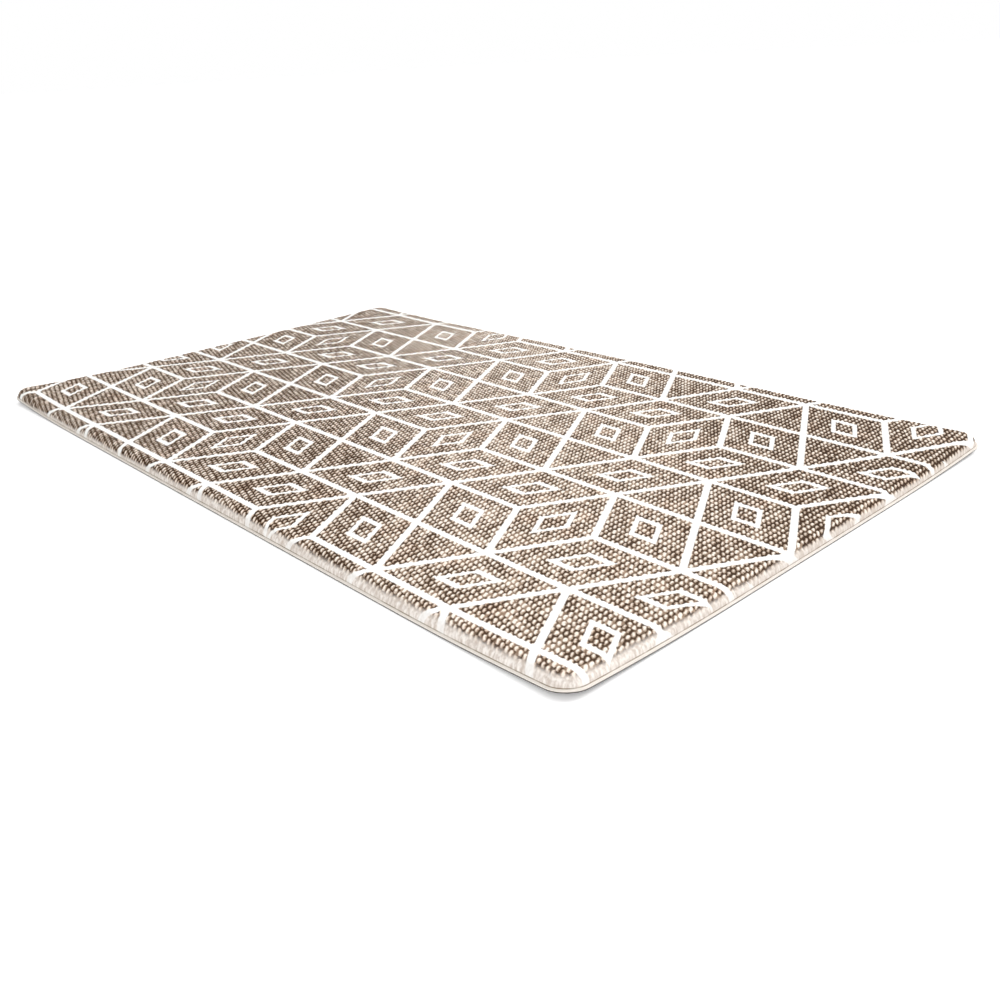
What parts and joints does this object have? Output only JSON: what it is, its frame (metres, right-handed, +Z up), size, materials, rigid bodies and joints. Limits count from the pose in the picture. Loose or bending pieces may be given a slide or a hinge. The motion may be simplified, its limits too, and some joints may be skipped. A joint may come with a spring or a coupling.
{
  "type": "anti fatigue mat",
  "caption": "Rectangular cushioned standing mat with rounded corners: printed embossed vinyl skin over foam, with a thin welded edge lip and a grip underside.",
  "frame": {"origin": "middle of the underside, on the floor", "axes": "+X along the long side, +Y across the mat, +Z up out of the standing surface"},
  "size_m": [0.762, 0.457, 0.0095],
  "materials": {
    "grip_sheet": "matte",
    "foam": "matte",
    "scrim": "matte",
    "printed_vinyl": "satin"
  },
  "bodies": {
    "root": {"base_sheet": "grip_sheet", "foam_core": "foam", "skin_scrim": "scrim", "top_skin": "printed_vinyl"}
  },
  "joints": []
}
